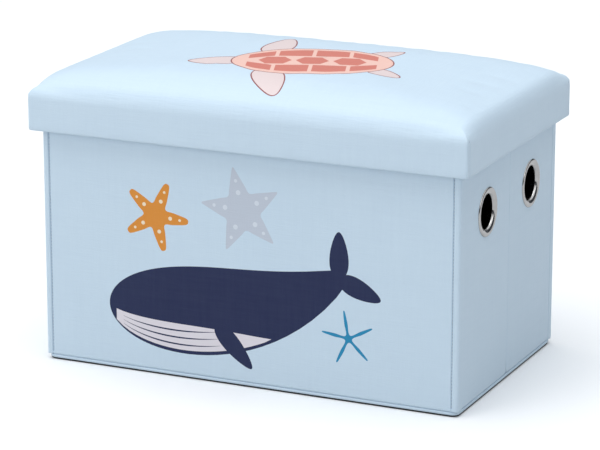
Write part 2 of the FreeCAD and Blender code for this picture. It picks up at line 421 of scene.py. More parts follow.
PLAIN_COVER = leatherette("leatherette")
PRINTED_COVER = leatherette("printed_leatherette", printed=True)
THREAD = thread_material()
LINING = black_cloth("lining_cloth", 24, 420.0)
BINDING = black_cloth("binding_cloth", 20, 900.0)
BOARD = fibreboard()
PLATE = bright_metal()
STEEL = brushed_metal()
FOAM = foam_material()
RIBBON = ribbon_material()


# --- meshes --------------------------------------------------------------------------------------


def new_object(name, data):
    """An object in the scene."""
    made = bpy.data.objects.new(name, data)
    bpy.context.scene.collection.objects.link(made)
    return made


def new_piece(name, points, faces, material, flat, inks=None):
    """A mesh object in the row's frame. flat tells which faces are shaded flat, and inks gives
    each face's colour, or None where it is bare."""
    mesh = bpy.data.meshes.new(name)
    mesh.from_pydata([tuple(p) for p in points], [], faces)
    mesh.polygons.foreach_set("use_smooth", [not level for level in flat])
    if inks:
        layer = mesh.color_attributes.new(PRINT, "FLOAT_COLOR", "CORNER")
        values = np.zeros((len(mesh.loops), 4), np.float32)
        for polygon, colour in zip(mesh.polygons, inks):
            if colour:
                values[polygon.loop_start : polygon.loop_start + polygon.loop_total] = colour
        layer.data.foreach_set("color", values.ravel())
    work = bmesh.new()
    work.from_mesh(mesh)
    bmesh.ops.remove_doubles(work, verts=work.verts, dist=2e-6)
    bmesh.ops.recalc_face_normals(work, faces=work.faces)
    work.to_mesh(mesh)
    work.free()
    mesh.materials.append(material)
    return new_object(name, mesh)


def settle(piece, body, slot, *stands_for):
    """Makes a piece ride on its body, in place of CAD nodes. Its slot is not used."""
    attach(piece, body)
    if stands_for:
        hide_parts(*stands_for)
    return piece


def round_rectangle(half, low, high, low_corner, high_corner, inset=0.0, arc=8):
    """A rectangle with rounded corners, set in by inset, anticlockwise from its right foot."""
    corners = (
        (half, low, low_corner, -90.0),
        (half, high, high_corner, 0.0),
        (-half, high, high_corner, 90.0),
        (-half, low, low_corner, 180.0),
    )
    middle = (low + high) / 2
    points = []
    for x, z, radius, start in corners:
        inner = max(radius - inset, 0.0003)
        centre_x = x - math.copysign(inset + inner, x)
        centre_z = z - math.copysign(inset + inner, z - middle)
        for step in range(arc + 1):
            angle = math.radians(start + 90.0 * step / arc)
            points.append((centre_x + inner * math.cos(angle), centre_z + inner * math.sin(angle)))
    return points


def rounded(half, low, high, low_corner, high_corner, arc=8):
    """A rounded rectangle that waits for its inset."""
    return lambda inset: round_rectangle(half, low, high, low_corner, high_corner, inset, arc)


def circle(x, z, radius, count=64):
    """A circle's points."""
    turns = [2 * math.pi * i / count for i in range(count)]
    return [(x + radius * math.cos(a), z + radius * math.sin(a)) for a in turns]


def anticlockwise(loop):
    """A closed loop, turned round if it runs clockwise."""
    area = sum(a[0] * b[1] - a[1] * b[0] for a, b in zip(loop, [*loop[1:], loop[0]]))
    return list(loop) if area > 0 else list(loop)[::-1]


def smooth_loop(corners, steps=8):
    """A closed Catmull-Rom curve through corners."""
    count = len(corners)
    loop = []
    for i in range(count):
        p0, p1, p2, p3 = (np.array(corners[(i + k) % count], float) for k in (-1, 0, 1, 2))
        for step in range(steps):
            t = step / steps
            point = 0.5 * (
                2 * p1
                + (p2 - p0) * t
                + (2 * p0 - 5 * p1 + 4 * p2 - p3) * t**2
                + (3 * p1 - p0 - 3 * p2 + p3) * t**3
            )
            loop.append(tuple(point))
    return loop


def open_curve(corners, steps):
    """An open Catmull-Rom curve through corners."""
    padded = [2 * corners[0] - corners[1], *corners, 2 * corners[-1] - corners[-2]]
    loop = smooth_loop(padded, steps)
    return loop[steps : steps * len(corners) + 1]


def triangulate(outline, holes=(), shapes=(), loose=()):
    """Triangles that fill outline, without its holes, and follow the edges of the shapes.

    Each shape is (points, ink), and a later one lies over an earlier one. loose are further
    points to use. Returns the points, the triangles and each triangle's ink.
    """
    loops = [outline, *holes, *[points for points, _ in shapes]]
    points = []
    faces = []
    for loop in loops:
        loop = anticlockwise(loop)
        faces.append(list(range(len(points), len(points) + len(loop))))
        points.extend(loop)
    points.extend(loose)
    made = delaunay_2d_cdt([Vector(p) for p in points], [], faces, 0, 1e-8, True)
    found, _, triangles, _, _, origins = made
    first_shape = 1 + len(holes)
    kept = []
    inks = []
    for triangle, inside in zip(triangles, origins):
        if 0 not in inside or any(1 <= i < first_shape for i in inside):
            continue
        top = max(inside)
        kept.append(tuple(triangle))
        inks.append(shapes[top - first_shape][1] if top >= first_shape else None)
    return [tuple(p) for p in found], kept, inks


class Draft:
    """The points, faces and inks of a piece while it is drawn, in its own place."""

    def __init__(self, place=None):
        self.place = place or Matrix.Identity(4)
        self.points = []
        self.faces = []
        self.flat = []
        self.inks = []

    def add(self, points, faces, inks=None, flat=False):
        """Adds points and the faces between them."""
        start = len(self.points)
        self.points.extend(self.place @ Vector(p) for p in points)
        self.faces.extend(tuple(start + i for i in face) for face in faces)
        self.flat.extend([flat] * len(faces))
        self.inks.extend(inks or [None] * len(faces))

    def loft(self, rings, closed=False):
        """Quads between rings of equal length, and back to the first one if closed."""
        count = len(rings[0])
        points = [p for ring in rings for p in ring]
        faces = []
        for step in range(len(rings) if closed else len(rings) - 1):
            first = step * count
            second = (step + 1) % len(rings) * count
            for i in range(count):
                after = (i + 1) % count
                faces.append((first + i, first + after, second + after, second + i))
        self.add(points, faces)

    def cover(self, loop, depth, holes=(), shapes=(), loose=()):
        """Fills a loop of local X and Z at a depth, which may be a function of both."""
        found, triangles, inks = triangulate(loop, holes, shapes, loose)
        level = depth if callable(depth) else lambda x, z: depth
        self.add([(x, level(x, z), z) for x, z in found], triangles, inks, True)

    def plate(self, outline, depth, far_depth, edge, far_edge, holes=(), shapes=(), sink=None):
        """A flat plate between two depths, with rounded edges. outline takes an inset and gives a
        loop, and sink takes X and Z and gives how far the near face is pushed in there."""
        profile = []
        for step in range(6):
            angle = math.radians(90 * step / 5)
            profile.append((edge * (1 - math.sin(angle)), depth + edge * (1 - math.cos(angle))))
        for step in range(4):
            angle = math.radians(90 * step / 3)
            inset = far_edge * (1 - math.cos(angle))
            profile.append((inset, far_depth - far_edge * (1 - math.sin(angle))))
        rings = [[(x, level, z) for x, z in outline(inset)] for inset, level in profile]
        self.loft(rings)
        near = (lambda x, z: depth + sink(x, z)) if sink else depth
        self.cover(outline(profile[0][0]), near, holes, shapes)
        self.cover(outline(profile[-1][0]), far_depth, holes)
        for hole in holes:
            self.loft([[(x, level, z) for x, z in hole] for level in (depth, far_depth)])

    def turn(self, profile, centre, segments=64):
        """A closed profile of (radius, depth), turned about local Y through centre (X, Z)."""
        rings = []
        for i in range(segments):
            angle = 2 * math.pi * i / segments
            way = (math.cos(angle), math.sin(angle))
            rings.append([(centre[0] + r * way[0], d, centre[1] + r * way[1]) for r, d in profile])
        self.loft(rings, closed=True)

    def cap(self, ring):
        """Fills a ring that lies level."""
        found, triangles, _ = triangulate([(x, y) for x, y, _ in ring])
        self.add([(x, y, ring[0][2]) for x, y in found], triangles, None, True)

    def sweep(self, section, heights):
        """A section of (X, Y) points, drawn up along local Z, with both ends closed."""
        rings = [[(x, y, z) for x, y in section] for z in heights]
        self.loft(rings)
        self.cap(rings[0])
        self.cap(rings[-1])

    def piece(self, name, material, printed=False):
        """The finished mesh object."""
        inks = self.inks if printed else None
        return new_piece(name, self.points, self.faces, material, self.flat, inks)


# --- printed motifs ------------------------------------------------------------------------------
# Plain sea shapes, each a closed outline in millimetres on the cover that it is printed on.

NAVY = shade(12, 28, 74)
BELLY = shade(226, 220, 226)
ORANGE = shade(222, 142, 46)
CREAM = shade(244, 226, 196)
GREY = shade(194, 202, 214)
PALE_GREY = shade(214, 221, 230)
TEAL = shade(16, 136, 180)
SKIN = shade(226, 208, 206)
CORAL_LINE = shade(140, 66, 64)
SHELL = shade(240, 196, 182)
PLATE_CORAL = shade(208, 118, 102)
OUTLINE = 1.4

WHALE_NOSE = (-155, 70)
WHALE_LENGTH = 262
WHALE_RISE = 60
WHALE_GIRTH = 44
WHALE_TAPER = 0.9
WHALE_FULLEST = 0.5 / (0.5 + WHALE_TAPER)
WHALE_STOCK = 7
GROOVE_LEVELS = (-0.48, -0.64, -0.8)
FLUKE_LENGTH = 48
FLUKE_SPREAD = math.radians(56)


def ribbon_loop(line, width):
    """A thin closed outline along an open line, tapering to its ends."""
    line = np.array(line, float)
    run = np.gradient(line, axis=0)
    across = np.column_stack([-run[:, 1], run[:, 0]])
    across /= np.linalg.norm(across, axis=1)[:, None]
    taper = np.sin(np.linspace(0.12, math.pi - 0.12, len(line)))[:, None]
    offset = across * width / 2 * taper
    return [tuple(p) for p in np.vstack([line + offset, (line - offset)[::-1]])]


def grown(loop, distance):
    """A closed loop moved outwards by distance."""
    points = np.array(loop, float)
    run = np.roll(points, -1, axis=0) - np.roll(points, 1, axis=0)
    out = np.column_stack([run[:, 1], -run[:, 0]])
    out /= np.linalg.norm(out, axis=1)[:, None]
    area = np.sum(points[:, 0] * np.roll(points[:, 1], -1) - points[:, 1] * np.roll(points[:, 0], -1))
    return [tuple(p) for p in points + out * distance * np.sign(area)]


def star(x, z, reach, waist, half_width, turn, colour, tip=0.55):
    """A starfish: five arms of half_width, from a body of radius waist out to reach, which narrow
    to the share tip near their ends."""
    corners = []
    for arm in range(5):
        angle = math.radians(turn + 72 * arm)
        along = np.array((math.cos(angle), math.sin(angle)))
        across = np.array((-along[1], along[0]))
        valley = angle + math.radians(36)
        corners.append(along * reach * 0.55 - across * half_width)
        corners.append(along * reach * 0.93 - across * half_width * tip)
        corners.append(along * reach)
        corners.append(along * reach * 0.93 + across * half_width * tip)
        corners.append(along * reach * 0.55 + across * half_width)
        corners.append(np.array((math.cos(valley), math.sin(valley))) * waist)
    return [(smooth_loop([(x + p[0], z + p[1]) for p in corners], 5), colour)]


def star_dots(x, z, reach, turn, radius, colour):
    """Two dots on each arm of a starfish."""
    dots = []
    for arm in range(5):
        angle = math.radians(turn + 72 * arm)
        for share, size in ((0.45, 1.0), (0.74, 0.7)):
            place_x = x + reach * share * math.cos(angle)
            place_z = z + reach * share * math.sin(angle)
            dots.append((circle(place_x, place_z, radius * size, 16), colour))
    return dots


def blade(root, tip, half_width):
    """A plain flipper or fluke: an oval from root to tip, a little fuller towards its root."""
    root, tip = np.array(root, float), np.array(tip, float)
    along = (tip - root) / 2
    across = np.array((-along[1], along[0])) / np.hypot(*along) * half_width
    turns = np.linspace(0, 2 * math.pi, 49)[:-1]
    fuller = 1 - 0.3 * np.cos(turns)
    points = (root + tip) / 2 + np.outer(np.cos(turns), along)
    points += np.outer(np.sin(turns) * fuller, across)
    return [tuple(point) for point in points]


def whale_line(shares, level):
    """A line along the whale, from nose at share 0 to tail at 1. Level -1 is its keel, 0 its
    middle and 1 its back."""
    x = WHALE_NOSE[0] + WHALE_LENGTH * shares
    z = WHALE_NOSE[1] + WHALE_RISE * shares**3
    slope = 3 * WHALE_RISE * shares**2 / WHALE_LENGTH
    drop = np.sqrt(shares) * (1 - shares) ** WHALE_TAPER
    fullest = math.sqrt(WHALE_FULLEST) * (1 - WHALE_FULLEST) ** WHALE_TAPER
    girth = WHALE_GIRTH * drop / fullest + WHALE_STOCK * shares
    size = np.hypot(1, slope)
    return np.column_stack([x - slope / size * girth * level, z + girth * level / size])


def whale():
    """A plain whale: a drop with a pale grooved underside, one flipper and two even flukes."""
    shares = np.linspace(0, 1, 34) ** 2
    body = [*whale_line(shares, 1), *whale_line(shares, -1)[:0:-1]]
    under = np.linspace(0.03, 0.66, 24)
    closing = np.linspace(0, 1, 24) ** 4
    belly_top = whale_line(under, -0.3 - 0.6 * closing)
    belly_foot = whale_line(under, np.full(24, -0.92))
    shapes = [
        ([tuple(point) for point in body], NAVY),
        ([tuple(point) for point in (*belly_top, *belly_foot[-2::-1])], BELLY),
    ]
    for level in GROOVE_LEVELS:
        groove = whale_line(np.linspace(0.06, 0.46, 20), np.full(20, level))
        shapes.append((ribbon_loop(groove, 1.6), NAVY))
    tail = whale_line(np.array([0.98]), 0)[0]
    heading = math.atan2(3 * WHALE_RISE, WHALE_LENGTH)
    for turn in (1, -1):
        way = heading + turn * FLUKE_SPREAD
        tip = tail + FLUKE_LENGTH * np.array((math.cos(way), math.sin(way)))
        shapes.append((blade(tail, tip, 10), NAVY))
    shapes.append((blade((-34, 62), (6, 20), 9.5), NAVY))
    return shapes


def front_motifs():
    """Everything printed on the front wall: X along it and Z up."""
    return [
        *whale(),
        *star(-101, 168, 37, 13.5, 6.2, 68, ORANGE),
        *star_dots(-101, 168, 37, 68, 2.1, CREAM),
        *star(-4, 184, 45, 20.5, 8.6, 103, GREY, tip=0.24),
        *star_dots(-4, 184, 42, 103, 2.6, PALE_GREY),
        *star(112, 66, 29, 4.0, 1.8, 100, TEAL),
    ]


def turtle():
    """A plain turtle seen from above, its head towards +U."""
    shapes = []
    limbs = [blade((66, 0), (126, 0), 15)]
    for side in (1, -1):
        limbs.append(blade((46, side * 36), (30, side * 106), 15))
        limbs.append(blade((-58, side * 26), (-90, side * 56), 10))
    for limb in limbs:
        shapes.append((grown(limb, OUTLINE), CORAL_LINE))
        shapes.append((limb, SKIN))
    turns = [2 * math.pi * i / 72 for i in range(72)]
    shell = [(82 * math.cos(a), 56 * math.sin(a)) for a in turns]
    shapes.append((grown(shell, OUTLINE), CORAL_LINE))
    shapes.append((shell, SHELL))
    for u in (-38, 0, 38):
        plate = [(u + 17, 0), (u + 9, 15), (u - 9, 15), (u - 17, 0), (u - 9, -15), (u + 9, -15)]
        shapes.append((plate, PLATE_CORAL))
    edges = (-68, -38, 0, 38, 68)
    for side in (1, -1):
        for left, right in zip(edges, edges[1:]):
            rim = [(u, 48 * math.sqrt(1 - (u / 78) ** 2)) for u in np.linspace(left + 2, right - 2, 8)]
            inner = [(right - 2, 8 if abs(right) > 50 else 20), (left + 2, 8 if abs(left) > 50 else 20)]
            shapes.append(([(u, side * v) for u, v in rim + inner], PLATE_CORAL))
    return shapes


def lid_motifs():
    """The turtle where it lies on the lid: X along the lid and Y across it."""
    centre = np.array((19.0, -15.0))
    heading = math.radians(200.0)
    forward = np.array((math.cos(heading), math.sin(heading)))
    left = np.array((-forward[1], forward[0]))
    return [
        ([tuple(centre + u * forward + v * left) for u, v in loop], colour)
        for loop, colour in turtle()
    ]


def in_metres(shapes):
    """Motifs in metres."""
    return [([(x * MM, z * MM) for x, z in loop], colour) for loop, colour in shapes]


# --- walls ---------------------------------------------------------------------------------------

BORE = 17.5 * MM
BARREL = 1.0 * MM
COVER_DEPTH = WALL_THICK - 0.4 * MM
HEM = 15 * MM
HEM_DROP = 0.15 * MM
SEAM = 6.8 * MM
GROOVE = 1.1 * MM
SEAM_FOOT = 4 * MM
SEAM_TOP = 2.6 * MM
BARREL_HOLE = BORE + BARREL + 0.1 * MM


def eyelet_place(name):
    """Where a leaf's eyelet is, as local X and Z."""
    low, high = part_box(f"{name}_eyelet")
    centre = (low + high) / 2
    return (wall_frame(name).inverted() @ centre).x, centre.z


def wall_hole(name, radius):
    """The hole through a wall, if it has one."""
    return [circle(*eyelet_place(name), radius)] if name in LEAVES else []


def seam_strips(half, low, high):
    """Narrow bare strips in a wall's face, each beside the line of the seam at its end."""
    strips = []
    for side in (-1, 1):
        for way in (-1, 1):
            seam = side * (half - SEAM)
            edge = seam + way * GROOVE
            foot = low + SEAM_FOOT
            top = high - SEAM_TOP
            strips.append(([(seam, foot), (edge, foot), (edge, top), (seam, top)], None))
    return strips


def make_wall_cover(name):
    """The leatherette over one wall's board, with its turned hem at the top inside."""
    length, low, high = wall_size(name)
    half = length / 2
    leaf = name in LEAVES
    foot_corner = 5 * MM if leaf else 9 * MM
    edge = 2.2 * MM
    draft = Draft(wall_frame(name))

    def sink(x, z):
        along_seam = abs(abs(x) - (half - SEAM)) < 0.01 * MM
        on_seam = along_seam and low + SEAM_FOOT < z < high - SEAM_TOP
        return GROOVE if on_seam and not leaf else 0.0

    strips = [] if leaf else seam_strips(half, low, high)
    motifs = in_metres(front_motifs()) if name == "front" else []
    holes = wall_hole(name, BARREL_HOLE)
    outline = rounded(half, low, high, foot_corner, 2.5 * MM)
    draft.plate(outline, 0.0, COVER_DEPTH, edge, 0.8 * MM, holes, strips + motifs, sink)
    hem_outline = rounded(half - 1.2 * MM, high - HEM, high - 0.6 * MM, MM, MM, 3)
    draft.plate(hem_outline, COVER_DEPTH - 0.2 * MM, WALL_THICK - HEM_DROP, 0.1 * MM, 0.2 * MM)
    material = PRINTED_COVER if name == "front" else PLAIN_COVER
    piece = draft.piece(f"{name}_wall_cover", material, name == "front")
    settle(piece, WALLS[name][0], "leatherette", f"{name}_cover")


def make_wall_lining(name):
    """The black cloth glued inside one wall."""
    length, low, high = wall_size(name)
    draft = Draft(wall_frame(name))
    outline = rounded(length / 2 - MM, low + MM, high - HEM + MM, 3 * MM, MM, 4)
    holes = wall_hole(name, BARREL_HOLE)
    draft.plate(outline, COVER_DEPTH - 0.1 * MM, WALL_THICK - 0.05 * MM, 0.05 * MM, 0.25 * MM, holes)
    piece = draft.piece(f"{name}_wall_lining", LINING)
    settle(piece, WALLS[name][0], "lining_cloth", f"{name}_lining")


def make_eyelet(name):
    """A turned eyelet: a domed flange outside, a bore, and a lip rolled over the washer."""
    corners = [
        (25.0, 0.0), (25.0, -0.5), (24.6, -1.0), (23.8, -1.38), (22.7, -1.5), (21.5, -1.3),
        (20.2, -0.85), (19.0, -0.25), (18.1, 0.5), (17.6, 1.4), (17.5, 2.6), (17.5, 5.6),
        (17.75, 6.2), (18.5, 6.48), (19.5, 6.48), (20.3, 6.32), (20.48, 6.18), (20.0, 6.12),
        (18.9, 6.1), (18.5, 5.7), (18.5, 3.0), (18.5, 0.1), (19.2, 0.0), (22.0, 0.0),
    ]  # fmt: skip
    profile = [(r * MM, d * MM) for r, d in smooth_loop(corners, 2)]
    draft = Draft(wall_frame(name))
    draft.turn(profile, eyelet_place(name), 72)
    piece = draft.piece(f"{name}_flanged_eyelet", PLATE)
    settle(piece, WALLS[name][0], "eyelet_metal", f"{name}_eyelet")


def make_washer(name):
    """The flat ring that an eyelet's lip is rolled over, inside the box."""
    corners = [
        (24.0, 5.1), (24.0, 5.5), (23.8, 5.85), (23.2, 6.08), (21.0, 6.1), (18.7, 6.1), (18.6, 5.9),
        (18.6, 5.3), (18.8, 5.03), (21.0, 5.02), (23.6, 5.02),
    ]  # fmt: skip
    profile = [(r * MM, d * MM) for r, d in smooth_loop(corners, 2)]
    draft = Draft(wall_frame(name))
    draft.turn(profile, eyelet_place(name), 64)
    piece = draft.piece(f"{name}_ring_washer", STEEL)
    settle(piece, WALLS[name][0], "washer_metal", f"{name}_washer")


def corner_section():
    """A strip of cover round a box corner: X from the corner along the long wall, Y along the
    end, both inwards."""
    outer = [(6.1, 0.15), (5.7, -0.3), (4.9, -0.5)]
    for step in range(7):
        angle = math.radians(90 * step / 6)
        outer.append((2.6 - 3.1 * math.sin(angle), 2.6 - 3.1 * math.cos(angle)))
    outer.extend((-0.5, y) for y in np.linspace(3.2, 9.6, 12))
    outer.extend([(-0.35, 10.2), (0.1, 10.7)])
    inner = [(0.5, 10.2)]
    inner.extend((0.5, y) for y in np.linspace(9.4, 3.2, 11))
    inner.extend([(0.9, 1.9), (1.9, 0.9), (3.2, 0.5), (5.0, 0.5)])
    return [(x * MM, y * MM) for x, y in outer + inner]


def make_corners():
    """The four strips of cover that hinge the end leaves to the long walls."""
    hinges = (
        ("right_front_corner", 1, -1, ("box_front", "right_front_leaf")),
        ("left_front_corner", -1, -1, ("box_front", "left_front_leaf")),
        ("right_back_corner", 1, 1, ("back_wall", "right_rear_leaf")),
        ("left_back_corner", -1, 1, ("back_wall", None)),
    )
    foot = LEAF_FOOT + 0.5 * MM
    top = BOX_HIGH.z - 0.6 * MM
    heights = [foot, foot + 0.4 * MM, *np.linspace(foot + 6 * MM, top - 6 * MM, 24), top - 0.4 * MM, top]
    for name, side, end, bodies in hinges:
        draft = Draft()
        corner = (side * BOX_HIGH.x, end * BOX_HIGH.y)
        section = [(corner[0] - side * x, corner[1] - end * y) for x, y in corner_section()]
        draft.sweep(section, heights)
        piece = draft.piece(f"{name}_strip", PLAIN_COVER)
        if bodies[1] is None:
            settle(piece, bodies[0], "leatherette")
            continue
        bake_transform(piece)


def make_creases():
    """The two strips of cover that hinge an end's front leaf to its rear one."""
    outer = [(-1.7, 1.1), (-1.4, 0.6), (-1.0, 0.35), (-0.5, 0.25), (0, 0.3)]
    outer += [(-y, x) for y, x in outer[-2::-1]]
    section = outer + [(y, x + 0.5) for y, x in outer[::-1]]
    foot = LEAF_FOOT + 2.5 * MM
    heights = np.linspace(foot, BOX_HIGH.z - 0.8 * MM, 20)
    for name, side in (("right", 1), ("left", -1)):
        draft = Draft()
        face = side * BOX_HIGH.x
        draft.sweep([(face - side * depth * MM, y * MM) for y, depth in section], heights)
        piece = draft.piece(f"{name}_crease_strip", PLAIN_COVER)
        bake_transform(piece)


for wall in WALLS:
    make_wall_cover(wall)
    make_wall_lining(wall)
for wall in LEAVES:
    make_eyelet(wall)
    make_washer(wall)
make_corners()
make_creases()


# --- bottom --------------------------------------------------------------------------------------

FLAT_PLACE = Matrix(((1, 0, 0, 0), (0, 0, 1, 0), (0, -1, 0, 0), (0, 0, 0, 1)))


def lying_box(node):
    """A flat node's half width, its front and back, and its top and underside."""
    low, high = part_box(node)
    return high.x, low.y, high.y, high.z, low.z


def make_bottom_sheet():
    """The cloth sheet sewn under the walls, a little loose between its edges."""
    half, front, back, top, under = lying_box("bottom_sheet")
    draft = Draft(FLAT_PLACE)
    outline = rounded(half, front, back, 8 * MM, 8 * MM)
    draft.plate(outline, -top - 0.2 * MM, -under, 0.3 * MM, 0.3 * MM)
    piece = draft.piece("bottom_cloth", BINDING)
    settle(piece, "box_front", "lining_cloth", "bottom_sheet")
    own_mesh(piece)


def make_binding():
    """The bound edge that joins the bottom sheet to the walls, in the same cover as they have."""
    half, front, back, _, _ = lying_box("bottom_binding")
    half += 0.6 * MM
    front -= 0.6 * MM
    back += 0.6 * MM
    profile = ((0.5, 1.5), (0.0, 2.2), (0.0, 3.8), (0.3, 4.4), (1.0, 4.6), (9.0, 4.6), (10.0, 4.3))
    profile += ((10.4, 3.6), (10.4, 1.6), (9.6, 1.0), (1.6, 1.0))
    rings = []
    for inset, height in profile:
        loop = round_rectangle(half, front, back, 8 * MM, 8 * MM, inset * MM)
        rings.append([(x, -height * MM, y) for x, y in loop])
    draft = Draft(FLAT_PLACE)
    draft.loft(rings, closed=True)
    piece = draft.piece("bottom_bound_edge", PLAIN_COVER)
    settle(piece, "box_front", "leatherette", "bottom_binding")
    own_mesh(piece)


def make_base():
    """The loose board on the bottom, wrapped in black cloth that is turned under."""
    half, front, back, top, under = lying_box("base_cover")
    draft = Draft(FLAT_PLACE)
    outline = rounded(half, front, back, 4 * MM, 4 * MM)
    draft.plate(outline, -top, -under, 1.2 * MM, 1.0 * MM)
    piece = draft.piece("base_wrapped_board", LINING)
    settle(piece, "base", "lining_cloth", "base_cover", "base_board")


def make_tab():
    """The ribbon loop that lifts the base board, sewn down at its rear end."""
    low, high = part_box("pull_tab")
    path = [(high.y, 4.1), (high.y - 16 * MM, 4.1), (low.y + 8 * MM, 4.1), (low.y + 1.0 * MM, 4.12)]
    path += [(low.y + 0.2 * MM, 4.31), (low.y + 1.0 * MM, 4.5), (low.y + 8 * MM, 4.56)]
    path += [(high.y - 16 * MM, 4.54), (high.y - 0.5 * MM, 4.54)]
    line = np.array([(y, z * MM) for y, z in path])
    line = np.array(open_curve(line, 5))
    run = np.gradient(line, axis=0)
    out = np.column_stack([-run[:, 1], run[:, 0]])
    out /= np.linalg.norm(out, axis=1)[:, None]
    thick = 0.19 * MM
    ribbon_section = [(-1, -0.4), (-0.97, -1), (0.97, -1), (1, -0.4)]
    ribbon_section += [(-x, -lift) for x, lift in ribbon_section]
    rings = []
    for place, way in zip(line, out):
        ring = []
        for x, lift in ribbon_section:
            spot = place + way * thick * lift
            ring.append((x * high.x, spot[0], spot[1]))
        rings.append(ring)
    draft = Draft()
    draft.loft(rings)
    for ring in (rings[0], rings[-1]):
        draft.add(ring, [tuple(range(len(ring)))])
    piece = draft.piece("ribbon_loop", RIBBON)
    settle(piece, "base", "tab_ribbon", "pull_tab")


make_bottom_sheet()
make_binding()
make_base()
make_tab()


# --- lid -----------------------------------------------------------------------------------------

LID_HALF_X = LID_HIGH.x
LID_HALF_Y = LID_HIGH.y
SHOULDER_FOOT = 278 * MM
SHOULDER_REACH = 12 * MM
SHOULDER_RISE = 13 * MM
CROWN_RISE = LID_HIGH.z - MM - SHOULDER_FOOT - SHOULDER_RISE
CROWN_EASE_X = (1.8, 0.43)
CROWN_EASE_Y = (4.8, 0.95)
CROWN_JOIN = 1.9
RIM = 6.2 * MM
SEAM_BESIDE = 4.6 * MM
SEAM_DEPTH = 0.8 * MM
FOAM_GAP = 2 * MM
RELIEF_STEP = 6 * MM
RELIEF_FRAMES = 20
RELIEF_SHARE = 0.45
RELIEF_CAP = 0.45 * MM
RELIEF_SPREAD = 12


def crown_height(x, y):
    """The height of the lid's top at x, y: a rounded shoulder, then a long flat crown."""
    in_x = LID_HALF_X - abs(x)
    in_y = LID_HALF_Y - abs(y)
    near = min(in_x, in_y, SHOULDER_REACH) / SHOULDER_REACH
    shoulder = math.sqrt(max(0.0, 1 - (1 - near) ** 2))
    rise_x = (1 - (1 - in_x / LID_HALF_X) ** CROWN_EASE_X[0]) ** CROWN_EASE_X[1]
    rise_y = (1 - (1 - in_y / LID_HALF_Y) ** CROWN_EASE_Y[0]) ** CROWN_EASE_Y[1]
    short = ((1 - rise_x) ** CROWN_JOIN + (1 - rise_y) ** CROWN_JOIN) ** (1 / CROWN_JOIN)
    return SHOULDER_FOOT + SHOULDER_RISE * shoulder + CROWN_RISE * max(0.0, 1 - short)


def lid_outline(inset, groove=0.0):
    """The lid's outline in plan, set in by inset, with even points along its sides and a groove
    beside each corner on the ends."""
    corner = 2.5 * MM
    half_x = LID_HALF_X - inset
    half_y = LID_HALF_Y - inset
    sides = (
        ((half_x, -half_y), (half_x, half_y), LID_HALF_Y),
        ((half_x, half_y), (-half_x, half_y), LID_HALF_X),
        ((-half_x, half_y), (-half_x, -half_y), LID_HALF_Y),
        ((-half_x, -half_y), (half_x, -half_y), LID_HALF_X),
    )
    points = []
    for (x0, y0), (x1, y1), half in sides:
        run = Vector((x1 - x0, y1 - y0))
        way = run.normalized()
        out = Vector((way.y, -way.x))
        beside = [corner, SEAM_BESIDE - 0.8 * MM, SEAM_BESIDE, SEAM_BESIDE + 0.8 * MM]
        between = np.linspace(9 * MM, run.length - 9 * MM, round(2 * half / (6 * MM)))
        along = [*beside, *between, *[run.length - d for d in beside[::-1]]]
        for distance in along:
            on_seam = min(distance, run.length - distance) == SEAM_BESIDE or distance in along[-3:-2]
            depth = groove if on_seam and half == LID_HALF_Y else 0.0
            points.append(tuple(Vector((x0, y0)) + way * distance - out * depth))
        centre = Vector((x1, y1)) - way * corner - out * corner
        for step in (1, 2, 3):
            angle = math.radians(90 * step / 4)
            points.append(tuple(centre + out * corner * math.cos(angle) + way * corner * math.sin(angle)))
    return points


def lid_ring(inset, height=None, groove=0.0):
    """A ring of the lid's outline at a height, or on its crown."""
    return [
        (x, y, crown_height(x, y) if height is None else height)
        for x, y in lid_outline(inset, groove)
    ]


def even_grid(half_x, half_y, step):
    """Points spread evenly over a rectangle."""
    return [
        (x, y)
        for x in np.linspace(-half_x, half_x, round(2 * half_x / step))
        for y in np.linspace(-half_y, half_y, round(2 * half_y / step))
    ]


